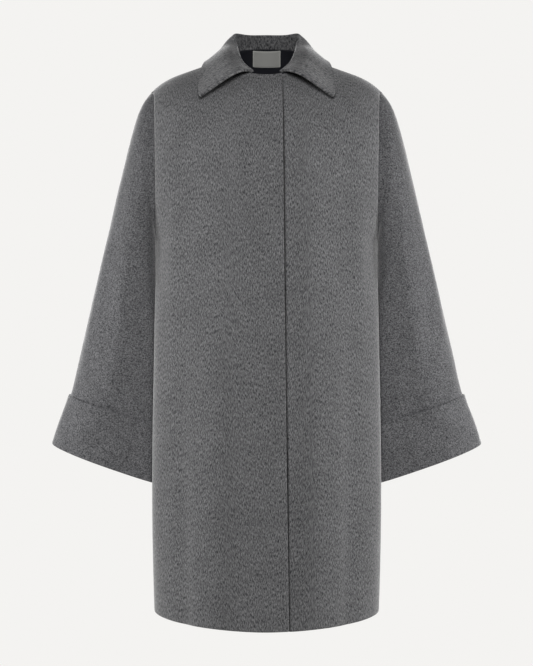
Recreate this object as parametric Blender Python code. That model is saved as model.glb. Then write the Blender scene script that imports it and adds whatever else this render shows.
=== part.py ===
"""Knee-length cashmere coat, filled out as worn: two fronts, back, wide sleeves with turned-back
cuffs, one-piece pointed collar, and the lining and label that show in the back of the neck.

Metres, +Z up. The wearer faces -Y, so the wearer's left is +X. The origin is midway between the two
high points of the shoulders, where the coat is carried. Half pieces are worked out on +X and
mirrored for the right.
"""
import math
from collections import namedtuple

import bmesh
import bpy
from mathutils import Vector

# Cloth
CLOTH = 0.0022
CUFF_CLOTH = 0.0030
COLLAR_CLOTH = 0.0026
LINING_CLOTH = 0.0008
LABEL_CLOTH = 0.0008
SEAM_GAP = 0.0003
LAP_CLEARANCE = 0.0008
LABEL_STANDOFF = 0.0012

# Neckline: a tilted oval through both high shoulder points
NECK_HALF_WIDTH = 0.072
NECK_FRONT_REACH = 0.090
NECK_FRONT_DROP = 0.044
NECK_BACK_REACH = 0.065
NECK_BACK_RISE = 0.0295

# Shoulder seam: a straight slope that curves over at its outer end
SHOULDER_HALF_WIDTH = 0.203
SHOULDER_SLOPE = 0.353
SHOULDER_CURVE_START = 0.157
SHOULDER_CURVE = 9.6

# Armhole, side seam and hem
UNDERARM_X = 0.1895
UNDERARM_Z = -0.320
CHEST_Z = -0.200
HEM_X = 0.1931
HEM_Z = -0.963
HEM_SIDE_RISE = 0.006
SIDE_BULGE = 0.0046
SIDE_BULGE_LOWERED = 1.6
SIDE_SEAM_Y = -0.035
SIDE_SEAM_SWING = 0.130

# Body: how far the panels stand out, and how they roll away from the neckline and shoulder
NECK_ROLL_ONSET = 8
ARMHOLE_ROLL = 2
EDGE_PULL = 8
SIDE_START_Z = -0.180
SIDE_END_Z = -0.470
Panel = namedtuple("Panel", "sign armhole_reach armhole_bow chest_reach hem_reach chest_side_y"
                            " roundness neck_roll")
FRONT = Panel(sign=-1, armhole_reach=0.060, armhole_bow=0.0085, chest_reach=0.143, hem_reach=0.173,
              chest_side_y=-0.045, roundness=1.85, neck_roll=1.1)
BACK = Panel(sign=1, armhole_reach=0.083, armhole_bow=0.0135, chest_reach=0.135, hem_reach=0.140,
             chest_side_y=0.045, roundness=1.9, neck_roll=2.0)

# Soft folds that open towards the hem, placed by their share of the half width
FOLD_START_Z = -0.430
Fold = namedtuple("Fold", "panel centre spread height")
FOLDS = (
    Fold(panel=FRONT, centre=0.57, spread=0.20, height=0.006),
    Fold(panel=FRONT, centre=0.26, spread=0.16, height=-0.003),
    Fold(panel=BACK, centre=0.00, spread=0.22, height=-0.005),
    Fold(panel=BACK, centre=0.42, spread=0.22, height=0.007),
    Fold(panel=BACK, centre=0.76, spread=0.16, height=-0.003),
)

# Front edge: each front runs past the centre line by this much
LAP_AT_NECK = 0.025
LAP_AT_HEM = 0.035
LAP_FULL_X = 0.039
LAP_FADE_X = 0.070

# Sleeve sections below the armhole: outer and inner line, ridge and front and back reach in y
Section = namedtuple("Section", "outer_x outer_z inner_x inner_z ridge_y front_y back_y")
SLEEVE_SECTIONS = (
    Section(0.212, -0.076, 0.1915, -0.325, 0.000, -0.061, 0.083),
    Section(0.228, -0.110, 0.1920, -0.338, 0.001, -0.062, 0.084),
    Section(0.252, -0.206, 0.1915, -0.375, 0.007, -0.060, 0.087),
    Section(0.277, -0.306, 0.1905, -0.430, 0.014, -0.054, 0.090),
    Section(0.302, -0.406, 0.1890, -0.500, 0.022, -0.046, 0.093),
    Section(0.327, -0.506, 0.1875, -0.572, 0.031, -0.036, 0.096),
    Section(0.348, -0.590, 0.1865, -0.642, 0.038, -0.027, 0.099),
    Section(0.379, -0.676, 0.1855, -0.744, 0.043, -0.019, 0.102),
)

# Collar: half stations from centre back to the front end; neck_angle goes round the neckline
COLLAR_FOLD_RADIUS = 0.004
COLLAR_FACE_INSET = 0.0012
COLLAR_SEAT = 0.0006
LEAF_BULGE = 0.009
LEAF_BULGE_SCALE = 27 / 4  # makes the highest point of t * (1 - t) ** 2 one
LEAF_CLEARANCE = 0.008
Station = namedtuple("Station", "neck_angle fold_x fold_y fold_z edge_x edge_y edge_z")
COLLAR_STATIONS = (
    Station(-90, 0.000, 0.070, 0.057, 0.000, 0.098, -0.012),
    Station(-60, 0.033, 0.064, 0.0555, 0.056, 0.088, -0.009),
    Station(-35, 0.057, 0.044, 0.052, 0.093, 0.055, -0.007),
    Station(-10, 0.053, 0.022, 0.031, 0.109, 0.012, -0.007),
    Station(15, 0.047, -0.023, 0.004, 0.115, -0.030, -0.024),
    Station(40, 0.0385, -0.055, -0.019, 0.117, -0.070, -0.058),
    Station(69, 0.0245, -0.085, -0.037, 0.113, -0.104, -0.0885),
)

# Label on the lining at the centre back neck, laid out on the back: 50 by 30 mm where it lies inside
LABEL_WIDTH = 0.0528
LABEL_HEIGHT = 0.0265
LABEL_DROP = 0.0015

# Mesh fineness
ARMHOLE_ROWS = 12
SIDE_ROWS = 6
LAP_COLUMNS = 2
NECK_COLUMNS = 6
SHOULDER_COLUMNS = 7
LINING_ROWS = 5
LABEL_COLUMNS = 4
LABEL_ROWS = 3
FOLD_STEPS = 4
LEAF_STEPS = 5
STATION_STEPS = 2
NARROWING_STEPS = 6
SHARP_DEGREES = 50

# Colours, linear, and roughness
CLOTH_COLOUR = (0.130, 0.130, 0.133, 1.0)
LINING_COLOUR = (0.008, 0.008, 0.010, 1.0)
LABEL_COLOUR = (0.330, 0.330, 0.310, 1.0)
CLOTH_ROUGHNESS = 0.9
LINING_ROUGHNESS = 0.5
LABEL_ROUGHNESS = 0.7

SHOULDER_END_Z = (-SHOULDER_SLOPE * (SHOULDER_HALF_WIDTH - NECK_HALF_WIDTH)
                  - SHOULDER_CURVE * (SHOULDER_HALF_WIDTH - SHOULDER_CURVE_START) ** 2)
ARMHOLE_MIDDLE_Z = (SHOULDER_END_Z + UNDERARM_Z) / 2
UP = Vector((0.0, 0.0, 1.0))
OUT = Vector((1.0, 0.0, 0.0))


def blend(start, end, share):
    """The value a share of the way from start to end."""
    return start + (end - start) * share


def clamp(share):
    return min(1.0, max(0.0, share))


def ease(share):
    """A share from 0 to 1 that starts and ends level."""
    share = clamp(share)
    return share * share * (3 - 2 * share)


def mirrored(point):
    return Vector((-point.x, point.y, point.z))


def mirrored_grid(grid):
    return [[mirrored(point) for point in row] for row in grid]


def neck_point(angle):
    """Neckline point: -90 degrees is centre back, 0 the high shoulder point, 90 centre front."""
    reach = NECK_FRONT_REACH if angle > 0 else NECK_BACK_REACH
    rise = NECK_FRONT_DROP if angle > 0 else NECK_BACK_RISE
    x = NECK_HALF_WIDTH * math.cos(angle)
    return Vector((x, -reach * math.sin(angle), -rise * math.sin(angle)))


def top_edge(x, panel):
    """Depth and height of a panel's top edge: neckline first, then shoulder seam."""
    if x < NECK_HALF_WIDTH:
        point = neck_point(-panel.sign * math.acos(x / NECK_HALF_WIDTH))
        return point.y, point.z
    past_curve = max(0.0, x - SHOULDER_CURVE_START)
    return 0.0, -SHOULDER_SLOPE * (x - NECK_HALF_WIDTH) - SHOULDER_CURVE * past_curve ** 2


def side_line(level, panel):
    """Edge of a panel: armhole for levels 0 to 1, side seam down to the hem for 1 to 2."""
    if level <= 1:
        turn = math.pi * level
        x = blend(SHOULDER_HALF_WIDTH, UNDERARM_X, (1 - math.cos(turn)) / 2)
        z = blend(SHOULDER_END_Z, UNDERARM_Z, (1 - math.cos(turn)) / 2)
        x -= panel.armhole_bow * math.sin(turn) ** 2
        return Vector((x, panel.sign * panel.armhole_reach * math.sin(turn), z))
    down = level - 1
    x = blend(UNDERARM_X, HEM_X, down) + SIDE_BULGE * math.sin(math.pi * down ** SIDE_BULGE_LOWERED)
    z = blend(UNDERARM_Z, HEM_Z + HEM_SIDE_RISE, down)
    return Vector((x, SIDE_SEAM_Y * ease((UNDERARM_Z - z) / SIDE_SEAM_SWING), z))


def fold_height(share, z, panel):
    """How far the soft folds stand out at one place on a panel."""
    opening = ease((FOLD_START_Z - z) / (FOLD_START_Z - HEM_Z))
    total = 0.0
    for fold in FOLDS:
        if fold.panel is panel:
            nearness = clamp(1 - abs(abs(share) - fold.centre) / fold.spread)
            total += fold.height * ease(nearness) * opening
    return total


def roll_power(share, panel):
    """How round a panel rolls away from its top edge: straight at the centre, a circle at the armhole."""
    neck_share = NECK_HALF_WIDTH / SHOULDER_HALF_WIDTH
    if share < neck_share:
        return blend(1, panel.neck_roll, (share / neck_share) ** NECK_ROLL_ONSET)
    return blend(panel.neck_roll, ARMHOLE_ROLL, ((share - neck_share) / (1 - neck_share)) ** 2)


def panel_point(share, level, panel):
    """Outer surface of a body panel: share runs from the centre line to the side line."""
    edge = side_line(level, panel)
    width_share = abs(share)
    top_y, top_z = top_edge(width_share * SHOULDER_HALF_WIDTH, panel)
    z = blend(UNDERARM_Z, HEM_Z + HEM_SIDE_RISE * share ** 2, level - 1)
    side_y = edge.y
    if level <= 1:
        z = blend(top_z, UNDERARM_Z, (1 - math.cos(math.pi * level)) / 2)
        side_y = panel.sign * panel.armhole_reach * (1 if level < 0.5 else math.sin(math.pi * level))
    centre_y = panel.sign * blend(panel.chest_reach, panel.hem_reach,
                                  clamp((CHEST_Z - z) / (CHEST_Z - HEM_Z)))
    arc = max(0.0, 1 - width_share ** panel.roundness) ** (1 / panel.roundness)
    inner_side_y = blend(panel.chest_side_y, SIDE_SEAM_Y,
                         ease((SIDE_START_Z - z) / (SIDE_START_Z - SIDE_END_Z)))
    full_y = blend(inner_side_y, centre_y, arc) + (side_y - inner_side_y) * width_share ** EDGE_PULL
    full_y += panel.sign * fold_height(share, z, panel)
    fallen = clamp((top_z - z) / (top_z - ARMHOLE_MIDDLE_Z))
    roll = (1 - (1 - fallen) ** 2) ** (1 / roll_power(width_share, panel))
    return Vector((share * edge.x, blend(top_y, full_y, roll), z))


def level_at(top_z, z):
    """The level above the underarm at which a column reaches height z."""
    fall = clamp((top_z - z) / (top_z - UNDERARM_Z))
    return math.acos(1 - 2 * fall) / math.pi


def panel_depth(x, z, panel):
    """Depth of a panel's outer surface at x and z, found by narrowing down the share."""
    share = abs(x) / SHOULDER_HALF_WIDTH
    level = 0.0
    for _ in range(NARROWING_STEPS):
        level = level_at(top_edge(share * SHOULDER_HALF_WIDTH, panel)[1], z)
        share = min(1.0, abs(x) / side_line(level, panel).x)
    return panel_point(share, level, panel).y


def levels():
    """Row levels of a body panel from the top edge to the hem."""
    upper = [row / ARMHOLE_ROWS for row in range(ARMHOLE_ROWS + 1)]
    lower = [1 + (row + 1) / SIDE_ROWS for row in range(SIDE_ROWS)]
    return upper + lower


def half_shares():
    """Column shares from the centre line to the side, one of them at the high shoulder point."""
    neck_share = NECK_HALF_WIDTH / SHOULDER_HALF_WIDTH
    quarter = math.pi / 2
    neck = [neck_share * math.sin(quarter * column / NECK_COLUMNS) for column in range(NECK_COLUMNS)]
    shoulder = [blend(neck_share, 1, math.sin(quarter * column / SHOULDER_COLUMNS))
                for column in range(SHOULDER_COLUMNS + 1)]
    return neck + shoulder


def front_grid():
    """Outer points of a front on +X, from its lap edge past the centre to the side."""
    grid = []
    for level in levels():
        edge = side_line(level, FRONT)
        down = clamp(edge.z / HEM_Z) if level > 0 else 0.0
        lap = blend(LAP_AT_NECK, LAP_AT_HEM, down) / edge.x
        shares = [-lap * (1 - column / LAP_COLUMNS) for column in range(LAP_COLUMNS)] + half_shares()
        grid.append([panel_point(share, level, FRONT) for share in shares])
    return grid


def back_grid():
    """Outer points of the back, from the right side line to the left one."""
    shares = half_shares()
    shares = [-share for share in reversed(shares[1:])] + shares
    return [[panel_point(share, level, BACK) for share in shares] for level in levels()]


def sleeve_grid():
    """Outer points of the left sleeve: closed rings from the armhole to the end in the cuff."""
    rows = ARMHOLE_ROWS
    front_half = [side_line(row / rows, FRONT) for row in range(rows + 1)]
    back_half = [side_line(row / rows, BACK) for row in range(rows - 1, 0, -1)]
    grid = [front_half + back_half]
    for section in SLEEVE_SECTIONS:
        ring = []
        for step in range(2 * rows):
            turn = math.pi * step / rows
            across = (1 - math.cos(turn)) / 2
            reach = section.front_y if step <= rows else section.back_y
            ring.append(Vector((blend(section.outer_x, section.inner_x, across),
                                blend(section.ridge_y, reach, abs(math.sin(turn))),
                                blend(section.outer_z, section.inner_z, across))))
        grid.append(ring)
    return grid


def grid_normals(grid, sign, ring=False):
    """Unit normals of a grid of points, turned outwards by sign; ring closes each row."""
    normals = []
    last = len(grid) - 1
    for i, row in enumerate(grid):
        count = len(row)
        line = []
        for j in range(count):
            along = grid[min(i + 1, last)][j] - grid[max(i - 1, 0)][j]
            if ring:
                across = row[(j + 1) % count] - row[j - 1]
            else:
                across = row[min(j + 1, count - 1)] - row[max(j - 1, 0)]
            line.append(sign * across.cross(along).normalized())
        normals.append(line)
    return normals


def share_normals(first, second):
    """One direction for the two sides of a seam that runs on smoothly or over a ridge."""
    middle = (first + second).normalized()
    return middle, middle.copy()


def toward(point, other, distance):
    return point + (other - point).normalized() * distance


def offset_grid(grid, normals, distance):
    """Points moved along their normals, inwards for a negative distance."""
    return [[point + normal * distance for point, normal in zip(row, line)]
            for row, line in zip(grid, normals)]


def object_from(name, mesh_data, material):
    """A smooth-shaded object from a finished bmesh, its faces turned outwards."""
    bmesh.ops.recalc_face_normals(mesh_data, faces=mesh_data.faces)
    mesh = bpy.data.meshes.new(name)
    mesh_data.to_mesh(mesh)
    mesh_data.free()
    mesh.materials.append(material)
    mesh.shade_smooth()
    mesh.set_sharp_from_angle(angle=math.radians(SHARP_DEGREES))
    piece = bpy.data.objects.new(name, mesh)
    bpy.context.scene.collection.objects.link(piece)
    return piece


def cloth_wall(name, outer, inner, material, ring=False):
    """A closed wall between an outer and an inner grid of points."""
    build = bmesh.new()
    outside = [[build.verts.new(point) for point in row] for row in outer]
    inside = [[build.verts.new(point) for point in row] for row in inner]
    rows = len(outer)
    columns = len(outer[0])
    for i in range(rows - 1):
        for j in range(columns if ring else columns - 1):
            k = (j + 1) % columns
            for side in (outside, inside):
                build.faces.new((side[i][j], side[i][k], side[i + 1][k]))
                build.faces.new((side[i][j], side[i + 1][k], side[i + 1][j]))
    for i in (0, rows - 1):
        for j in range(columns if ring else columns - 1):
            k = (j + 1) % columns
            build.faces.new((outside[i][j], outside[i][k], inside[i][k], inside[i][j]))
    if not ring:
        for j in (0, columns - 1):
            for i in range(rows - 1):
                build.faces.new((outside[i][j], outside[i + 1][j], inside[i + 1][j], inside[i][j]))
    return object_from(name, build, material)


def swept_ring(name, sections, material):
    """A closed ring swept through polygon sections, one for each step round it."""
    build = bmesh.new()
    loops = [[build.verts.new(point) for point in section] for section in sections]
    corners = len(loops[0])
    for i, loop in enumerate(loops):
        following = loops[(i + 1) % len(loops)]
        for j in range(corners):
            k = (j + 1) % corners
            build.faces.new((loop[j], loop[k], following[j]))
            build.faces.new((loop[k], following[k], following[j]))
    return object_from(name, build, material)


def principled(name, colour, roughness):
    material = bpy.data.materials.new(name)
    material.use_nodes = True
    shader = material.node_tree.nodes["Principled BSDF"]
    shader.inputs["Base Color"].default_value = colour
    shader.inputs["Roughness"].default_value = roughness
    shader.inputs["Metallic"].default_value = 0.0
    return material


def join_seams(front, back, sleeve, normals):
    """Share directions along the seams of the left half and open each seam by its gap."""
    front_normals, back_normals, sleeve_normals = normals
    first_shoulder = LAP_COLUMNS + NECK_COLUMNS
    back_shift = len(back[0]) - len(front[0])
    for j in range(first_shoulder, len(front[0])):
        k = j + back_shift
        front_normals[0][j], back_normals[0][k] = share_normals(front_normals[0][j], back_normals[0][k])
    for i in range(ARMHOLE_ROWS, len(front)):
        front_normals[i][-1], back_normals[i][-1] = share_normals(front_normals[i][-1],
                                                                  back_normals[i][-1])
    ring = len(sleeve[0])
    for step in range(ring):
        row = step if step <= ARMHOLE_ROWS else ring - step
        panel_normals = front_normals if step <= ARMHOLE_ROWS else back_normals
        panel = front if step <= ARMHOLE_ROWS else back
        inwards = panel[row][-2] - panel[row][-1]
        if inwards.dot(sleeve_normals[0][step]) <= 0:
            shared = share_normals(panel_normals[row][-1], sleeve_normals[0][step])
            panel_normals[row][-1], sleeve_normals[0][step] = shared
            if step == 0:
                back_normals[0][-1] = shared[0].copy()
    half_gap = SEAM_GAP / 2
    for panel, start in ((front, first_shoulder), (back, first_shoulder + back_shift)):
        for j in range(start, len(panel[0])):
            panel[0][j] = toward(panel[0][j], panel[1][j], half_gap)
        for row in panel:
            row[-1] = toward(row[-1], row[-2], half_gap)
    sleeve[0] = [point + OUT * SEAM_GAP for point in sleeve[0]]


def make_body(cloth):
    """Both fronts, the back and both sleeves, sewn from one set of shared seam points."""
    front = front_grid()
    back = back_grid()
    sleeve = sleeve_grid()
    front_normals = grid_normals(front, -1)
    back_normals = grid_normals(back, 1)
    sleeve_normals = grid_normals(sleeve, 1, ring=True)
    join_seams(front, back, sleeve, (front_normals, back_normals, sleeve_normals))
    middle = len(back[0]) // 2
    for grid in (back, back_normals):
        for row in grid:
            row[:middle] = [mirrored(point) for point in reversed(row[middle + 1:])]
    cloth_wall("back", back, offset_grid(back, back_normals, -CLOTH), cloth)

    front_inner = offset_grid(front, front_normals, -CLOTH)
    cloth_wall("front_right", mirrored_grid(front), mirrored_grid(front_inner), cloth)
    under = []
    under_inner = []
    for row, line in zip(front, front_normals):
        drops = [(CLOTH + LAP_CLEARANCE) * ease((LAP_FADE_X - point.x) / (LAP_FADE_X - LAP_FULL_X))
                 for point in row]
        under.append([point - normal * drop for point, normal, drop in zip(row, line, drops)])
        under_inner.append([point - normal * CLOTH for point, normal in zip(under[-1], line)])
    cloth_wall("front_left", under, under_inner, cloth)

    sleeve_inner = offset_grid(sleeve, sleeve_normals, -CLOTH)
    cloth_wall("sleeve_left", sleeve, sleeve_inner, cloth, ring=True)
    cloth_wall("sleeve_right", mirrored_grid(sleeve), mirrored_grid(sleeve_inner), cloth, ring=True)
    make_cuffs(sleeve, sleeve_normals, cloth)
    return back, back_normals


def make_cuffs(sleeve, normals, cloth):
    """Turned-back cuffs: a band over the sleeve end that wraps under its edge."""
    sections = []
    for top, end, out_top, out_end in zip(sleeve[-2], sleeve[-1], normals[-2], normals[-1]):
        down = (end - top).normalized()
        sections.append((
            top + out_top * (SEAM_GAP + CUFF_CLOTH),
            end + out_end * (SEAM_GAP + CUFF_CLOTH) + down * (SEAM_GAP + CUFF_CLOTH),
            end - out_end * CLOTH + down * (SEAM_GAP + CUFF_CLOTH),
            end - out_end * CLOTH + down * SEAM_GAP,
            end + out_end * SEAM_GAP + down * SEAM_GAP,
            top + out_top * SEAM_GAP,
        ))
    swept_ring("cuff_left", sections, cloth)
    swept_ring("cuff_right", mirrored_grid(sections), cloth)


def collar_stations():
    """The table's stations with smooth steps between them, from centre back to the front end."""
    count = len(COLLAR_STATIONS)
    stations = []
    for i in range(count - 1):
        before = COLLAR_STATIONS[i - 1] if i else None
        here = COLLAR_STATIONS[i]
        there = COLLAR_STATIONS[i + 1]
        after = COLLAR_STATIONS[i + 2] if i + 2 < count else None
        for step in range(STATION_STEPS):
            t = step / STATION_STEPS
            values = []
            for field in range(len(here)):
                start_slope = (there[field] - before[field]) / 2 if before else there[field] - here[field]
                end_slope = (after[field] - here[field]) / 2 if after else there[field] - here[field]
                values.append(here[field] * (1 + 2 * t) * (1 - t) ** 2 + start_slope * t * (1 - t) ** 2
                              + there[field] * t * t * (3 - 2 * t) - end_slope * t * t * (1 - t))
            stations.append(Station(*values))
    stations.append(COLLAR_STATIONS[-1])
    return stations


def rest_on_body(point):
    """A leaf point moved out where it would come too near the panel below it."""
    panel = FRONT if point.y < 0 else BACK
    if point.z < top_edge(abs(point.x), panel)[1]:
        surface = panel_depth(point.x, point.z, panel) + panel.sign * LEAF_CLEARANCE
        if (surface - point.y) * panel.sign > 0:
            return Vector((point.x, surface, point.z))
    return point


def collar_section(station):
    """Face of the collar at one station: up the stand, over the fold and down the leaf."""
    neck = neck_point(math.radians(station.neck_angle))
    fold = Vector((station.fold_x, station.fold_y, station.fold_z))
    edge = rest_on_body(Vector((station.edge_x, station.edge_y, station.edge_z)))
    middle_y = (NECK_BACK_REACH - NECK_FRONT_REACH) / 2
    outwards = Vector((neck.x, neck.y - middle_y, 0)).normalized()
    seat = neck + UP * COLLAR_SEAT - outwards * COLLAR_FACE_INSET
    rise = (fold - seat).normalized()
    over = edge - fold
    over = (over - rise * over.dot(rise)).normalized()
    centre = fold - rise * COLLAR_FOLD_RADIUS
    leaf = edge - centre
    turn_end = math.atan2(leaf.dot(over), leaf.dot(rise))
    points = [seat]
    for step in range(FOLD_STEPS + 1):
        turn = turn_end * step / FOLD_STEPS
        points.append(centre + COLLAR_FOLD_RADIUS * (rise * math.sin(turn) - over * math.cos(turn)))
    start = points[-1]
    lift = (rise * math.sin(turn_end) - over * math.cos(turn_end)).normalized()
    for step in range(1, LEAF_STEPS + 1):
        t = step / LEAF_STEPS
        bulge = LEAF_BULGE * LEAF_BULGE_SCALE * t * (1 - t) ** 2
        points.append(rest_on_body(blend(start, edge, t) + lift * bulge))
    return points, outwards


def make_collar(cloth):
    """Collar in one cut: its stand sits on the neckline, its leaf lies over the shoulders."""
    sections = [collar_section(station) for station in collar_stations()]
    columns = [[mirrored(point) for point in points] for points, _ in reversed(sections[1:])]
    columns += [points for points, _ in sections]
    outward = [mirrored(out) for _, out in reversed(sections[1:])] + [out for _, out in sections]
    rows = len(columns[0])
    face = [[column[row] for column in columns] for row in range(rows)]
    normals = grid_normals(face, 1)
    normals[0] = [-out for out in outward]
    cloth_wall("collar", face, offset_grid(face, normals, -COLLAR_CLOTH), cloth)


def make_lining(back, normals, material):
    """Lining of the upper back between the two high shoulder points, made from the back's points."""
    middle = len(back[0]) // 2
    columns = slice(middle - NECK_COLUMNS, middle + NECK_COLUMNS + 1)
    points = [row[columns] for row in back[:LINING_ROWS + 1]]
    directions = [line[columns] for line in normals[:LINING_ROWS + 1]]
    depth = CLOTH + SEAM_GAP
    cloth_wall("back_neck_lining", offset_grid(points, directions, -depth),
               offset_grid(points, directions, -depth - LINING_CLOTH), material)


def make_label(material):
    """Bare label, sewn to the lining just under the neckline."""
    grid = []
    for row in range(LABEL_ROWS + 1):
        line = []
        for column in range(LABEL_COLUMNS + 1):
            x = blend(-0.5, 0.5, column / LABEL_COLUMNS) * LABEL_WIDTH
            z = NECK_BACK_RISE - LABEL_DROP - LABEL_HEIGHT * row / LABEL_ROWS
            z = min(z, top_edge(abs(x), BACK)[1])
            line.append(Vector((x, panel_depth(x, z, BACK), z)))
        grid.append(line)
    normals = grid_normals(grid, 1)
    depth = CLOTH + SEAM_GAP + LINING_CLOTH + LABEL_STANDOFF
    cloth_wall("neck_label", offset_grid(grid, normals, -depth),
               offset_grid(grid, normals, -depth - LABEL_CLOTH), material)


def main():
    for old in list(bpy.data.objects):
        bpy.data.objects.remove(old, do_unlink=True)
    cloth = principled("grey cashmere", CLOTH_COLOUR, CLOTH_ROUGHNESS)
    lining = principled("black lining", LINING_COLOUR, LINING_ROUGHNESS)
    label = principled("grey woven label", LABEL_COLOUR, LABEL_ROUGHNESS)
    back, back_normals = make_body(cloth)
    make_collar(cloth)
    make_lining(back, back_normals, lining)
    make_label(label)


main()
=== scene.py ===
# Grey cashmere coat, filled out as worn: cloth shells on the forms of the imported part
# Metres, +Z up. The wearer faces -Y, so the wearer's left is +X
import math

import bmesh
import bpy
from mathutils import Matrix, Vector, noise


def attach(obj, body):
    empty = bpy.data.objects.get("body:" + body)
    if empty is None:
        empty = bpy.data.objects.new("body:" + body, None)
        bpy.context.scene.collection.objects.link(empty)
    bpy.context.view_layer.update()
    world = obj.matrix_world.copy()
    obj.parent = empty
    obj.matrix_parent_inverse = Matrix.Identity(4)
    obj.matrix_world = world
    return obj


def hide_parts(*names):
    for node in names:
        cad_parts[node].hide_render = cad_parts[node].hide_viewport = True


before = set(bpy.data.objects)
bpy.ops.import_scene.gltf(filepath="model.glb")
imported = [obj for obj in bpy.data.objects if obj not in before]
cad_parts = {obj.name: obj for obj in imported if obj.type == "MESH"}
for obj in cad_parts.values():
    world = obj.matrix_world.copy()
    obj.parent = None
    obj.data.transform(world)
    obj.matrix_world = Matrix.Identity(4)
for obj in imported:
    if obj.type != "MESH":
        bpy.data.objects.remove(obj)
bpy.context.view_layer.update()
print("frame loaded:", ", ".join(sorted(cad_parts)))

# What the fronts, back and sleeves share along their seams
body = {
    "cloth": 0.0022, "seamGap": 0.0003,
    "neckHalfWidth": 0.072, "neckFrontReach": 0.090, "neckFrontDrop": 0.046,
    "neckBackReach": 0.065, "neckBackRise": 0.0295,
    "shoulderHalfWidth": 0.203, "shoulderSlope": 0.353, "shoulderCurveStart": 0.150, "shoulderCurve": 21.5,
    "shoulderCurvePower": 2.5,
    "underarmX": 0.1914, "underarmY": -0.022, "underarmOnset": 4, "underarmZ": -0.320, "chestZ": -0.200,
    "hemX": 0.1931, "hemZ": -0.9643, "hemSideRise": 0.006, "hemLevelling": 0.24, "levelFromZ": -0.60,
    "sideBulge": 0.0046, "sideBulgeLowered": 1.6, "sideSeamY": -0.035, "sideSeamSwing": 0.130,
    "sideStartZ": -0.180, "sideEndZ": -0.470, "edgePull": 8,
    "neckRollOnset": 8, "armholeRoll": 2, "foldStartZ": -0.430,
    "armholeRows": 36, "sideRows": 84, "bowRaised": 0.6,
    "seamRoll": 0.0013, "seamRollUnderarm": 0.0016, "seamRollFrom": 0.006, "seamRollWidth": 0.0055,
    "seamRollEase": 0.030, "seamRollStartZ": -0.200, "seamRollEndZ": -0.440, "deepestLevelled": -0.004,
    "creaseFade": 0.035, "creaseEnds": 0.8,  # creases fade out before a seam and at their own ends
    "sewnThickness": 0.35, "sewnWidth": 0.001,  # a sewn edge is pressed to this share of its thickness
    "mergeWithin": 1e-5,
}


def blend(start, end, share):
    return start + (end - start) * share


def clamp(share):
    return min(1.0, max(0.0, share))


def ease(share):
    share = clamp(share)
    return share * share * (3 - 2 * share)


def hump(distance, halfWidth):
    return math.exp(-(distance / halfWidth) ** 2)


def shoulderDrop(x):
    past = max(0.0, x - body["shoulderCurveStart"])
    rounding = body["shoulderCurve"] * past ** body["shoulderCurvePower"]
    return -body["shoulderSlope"] * (x - body["neckHalfWidth"]) - rounding


shoulderEndZ = shoulderDrop(body["shoulderHalfWidth"])
armholeMiddleZ = (shoulderEndZ + body["underarmZ"]) / 2
neckShare = body["neckHalfWidth"] / body["shoulderHalfWidth"]


def neckPoint(angle):  # -90 degrees is centre back, 0 the high shoulder point, 90 centre front
    reach = body["neckFrontReach"] if angle > 0 else body["neckBackReach"]
    rise = body["neckFrontDrop"] if angle > 0 else body["neckBackRise"]
    x = body["neckHalfWidth"] * math.cos(angle)
    return Vector((x, -reach * math.sin(angle), -rise * math.sin(angle)))


def topEdge(x, panel):  # neckline first, then shoulder seam
    if x < body["neckHalfWidth"]:
        point = neckPoint(-panel["sign"] * math.acos(x / body["neckHalfWidth"]))
        return point.y, point.z
    return 0.0, shoulderDrop(x)


def underarmForward(level):
    return body["underarmY"] * level ** body["underarmOnset"]


def sideLine(level, panel):  # armhole for levels 0 to 1, side seam down to the hem for 1 to 2
    if level <= 1:
        turn = math.pi * level
        fall = (1 - math.cos(turn)) / 2
        bow = panel["armholeBow"] * math.sin(math.pi * level ** body["bowRaised"])
        x = blend(body["shoulderHalfWidth"], body["underarmX"], fall) - bow
        z = blend(shoulderEndZ, body["underarmZ"], fall)
        y = panel["sign"] * panel["armholeReach"] * math.sin(turn) + underarmForward(level)
        return Vector((x, y, z))
    down = level - 1
    x = blend(body["underarmX"], body["hemX"], down)
    x += body["sideBulge"] * math.sin(math.pi * down ** body["sideBulgeLowered"])
    z = blend(body["underarmZ"], body["hemZ"] + body["hemSideRise"], down)
    seamY = body["sideSeamY"] * ease((body["underarmZ"] - z) / body["sideSeamSwing"])
    return Vector((x, min(underarmForward(1), seamY), z))


def foldHeight(share, z, panel):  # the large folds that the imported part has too
    opening = ease((body["foldStartZ"] - z) / (body["foldStartZ"] - body["hemZ"]))
    return sum(height * ease(1 - abs(abs(share) - centre) / spread) * opening
               for centre, spread, height in panel["folds"])


def hemLevelling(z):  # cloth that stands out in a fold is drawn up with it, so the hem stays level
    return body["hemLevelling"] * ease((body["levelFromZ"] - z) / (body["levelFromZ"] - body["hemZ"]))


def rollPower(share, panel):  # straight off the neckline at the centre, a quarter circle at the armhole
    if share < neckShare:
        return blend(1, panel["neckRoll"], (share / neckShare) ** body["neckRollOnset"])
    return blend(panel["neckRoll"], body["armholeRoll"], ((share - neckShare) / (1 - neckShare)) ** 2)


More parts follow.
